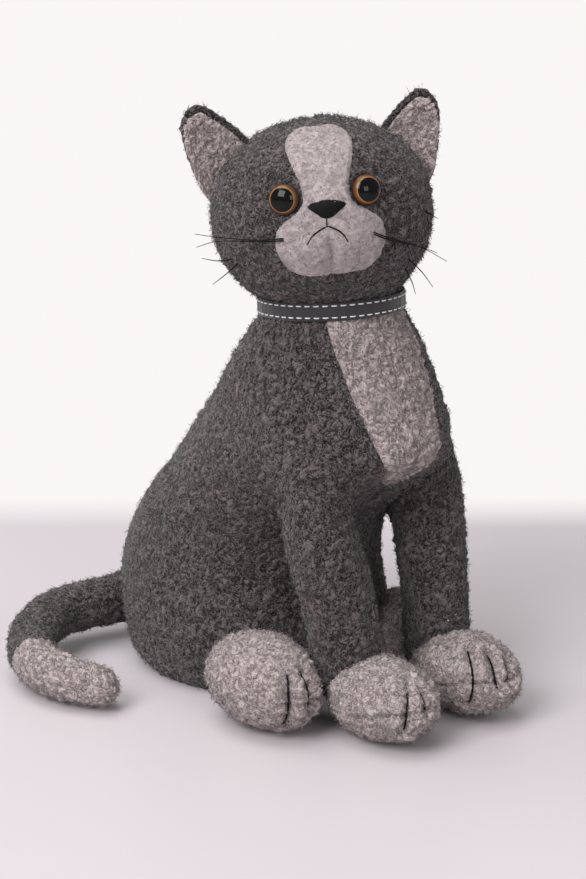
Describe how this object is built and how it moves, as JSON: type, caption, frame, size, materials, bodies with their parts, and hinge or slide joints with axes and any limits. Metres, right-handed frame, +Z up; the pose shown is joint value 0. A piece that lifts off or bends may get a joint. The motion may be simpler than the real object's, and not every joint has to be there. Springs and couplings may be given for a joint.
{
  "type": "plush cat",
  "caption": "Sitting soft toy cat with a weighted base, upright ears, a tail curled along one side and a stitched ribbon collar.",
  "frame": {"origin": "on the floor at the centre of the flat base panel", "axes": "+Z up, the chest faces -Y and the cat's left side is +X"},
  "size_m": [0.2094, 0.2531, 0.3106],
  "materials": {
    "dark_wool": "napped marled wool",
    "light_wool": "napped marled wool",
    "felt": "brushed wool felt",
    "ribbon": "ribbed ribbon",
    "white_thread": "cotton thread",
    "black_thread": "satin thread",
    "amber_eye": "glossy amber ring round a black pupil",
    "washer": "moulded",
    "stuffing": "loose fibre filling",
    "pellets": "cotton bag of pellets"
  },
  "bodies": {
    "torso": {"body_cover_right": "dark_wool", "body_cover_left": "dark_wool", "chest_bib_right": "light_wool", "chest_bib_left": "light_wool", "base_panel": "dark_wool", "body_stuffing": "stuffing", "pellet_bag": "pellets"},
    "neck": {"neck_stuffing": "stuffing"},
    "collar": {"collar_ribbon": "ribbon", "collar_stitches": "white_thread"},
    "head": {"head_cover_right": "dark_wool", "head_cover_left": "dark_wool", "face_patch": "felt", "head_stuffing": "stuffing", "nose": "black_thread", "mouth_stitches": "black_thread", "eye_right": "amber_eye", "eye_left": "amber_eye", "eye_washer_right": "washer", "eye_washer_left": "washer", "whiskers_right": "black_thread", "whiskers_left": "black_thread"},
    "ear_right": {"ear_back_right": "dark_wool", "ear_lining_right": "felt"},
    "ear_left": {"ear_back_left": "dark_wool", "ear_lining_left": "felt"},
    "foreleg_right": {"foreleg_cover_right": "dark_wool", "foreleg_stuffing_right": "stuffing", "forepaw_cover_right": "light_wool", "forepaw_stuffing_right": "stuffing", "forepaw_stitches_right": "black_thread"},
    "foreleg_left": {"foreleg_cover_left": "dark_wool", "foreleg_stuffing_left": "stuffing", "forepaw_cover_left": "light_wool", "forepaw_stuffing_left": "stuffing", "forepaw_stitches_left": "black_thread"},
    "hindpaw_right": {"hindpaw_cover_right": "light_wool", "hindpaw_stuffing_right": "stuffing", "hindpaw_stitches_right": "black_thread"},
    "hindpaw_left": {"hindpaw_cover_left": "light_wool", "hindpaw_stuffing_left": "stuffing", "hindpaw_stitches_left": "black_thread"},
    "tail_base": {"tail_root_cover": "dark_wool", "tail_root_stuffing": "stuffing"},
    "tail_end": {"tail_bend_cover": "dark_wool", "tail_bend_stuffing": "stuffing", "tail_tip_cover": "light_wool", "tail_tip_stuffing": "stuffing"}
  },
  "joints": [
    {"name": "head_turn", "type": "hinge", "parent": "torso", "child": "neck", "pos_m": [-0.00009, -0.05769, 0.19603], "axis": [0.0106, 0.0865, 0.9962], "range_deg": [-15, 15], "stiffness_Nm_per_rad": 2},
    {"name": "head_nod", "type": "hinge", "parent": "neck", "child": "head", "pos_m": [-0.00009, -0.05769, 0.19603], "axis": [0.8153, -0.5776, 0.0415], "range_deg": [-5, 2.5], "stiffness_Nm_per_rad": 6},
    {"name": "collar_turn", "type": "hinge", "parent": "torso", "child": "collar", "pos_m": [0, -0.057, 0.204], "axis": [0.0106, 0.0865, 0.9962], "continuous": true},
    {"name": "ear_right_flex", "type": "hinge", "parent": "head", "child": "ear_right", "pos_m": [-0.04134, -0.02702, 0.27238], "axis": [-0.3822, 0.2726, -0.883], "range_deg": [-12, 20], "stiffness_Nm_per_rad": 0.05},
    {"name": "ear_left_flex", "type": "hinge", "parent": "head", "child": "ear_left", "pos_m": [0.03075, -0.07844, 0.27847], "axis": [-0.5233, 0.3733, 0.766], "range_deg": [-12, 20], "stiffness_Nm_per_rad": 0.05},
    {"name": "foreleg_right_swing", "type": "hinge", "parent": "torso", "child": "foreleg_right", "pos_m": [-0.0385, -0.081, 0.114], "axis": [-1, 0, 0], "range_deg": [0, 12], "stiffness_Nm_per_rad": 1.5},
    {"name": "foreleg_left_swing", "type": "hinge", "parent": "torso", "child": "foreleg_left", "pos_m": [0.0385, -0.081, 0.114], "axis": [-1, 0, 0], "range_deg": [0, 12], "stiffness_Nm_per_rad": 1.5},
    {"name": "hindpaw_right_splay", "type": "hinge", "parent": "torso", "child": "hindpaw_right", "pos_m": [-0.049, -0.044, 0.025], "axis": [0, 0, -1], "range_deg": [0, 15], "stiffness_Nm_per_rad": 0.5},
    {"name": "hindpaw_left_splay", "type": "hinge", "parent": "torso", "child": "hindpaw_left", "pos_m": [0.036, -0.026, 0.025], "axis": [0, 0, 1], "range_deg": [0, 15], "stiffness_Nm_per_rad": 0.5},
    {"name": "tail_swing", "type": "hinge", "parent": "torso", "child": "tail_base", "pos_m": [-0.022, 0.066, 0.028], "axis": [0, 0, -1], "range_deg": [0, 20], "stiffness_Nm_per_rad": 0.4},
    {"name": "tail_curl", "type": "hinge", "parent": "tail_base", "child": "tail_end", "pos_m": [-0.078, 0.076, 0.0205], "axis": [0, 0, -1], "range_deg": [-9, 12], "stiffness_Nm_per_rad": 0.2}
  ]
}
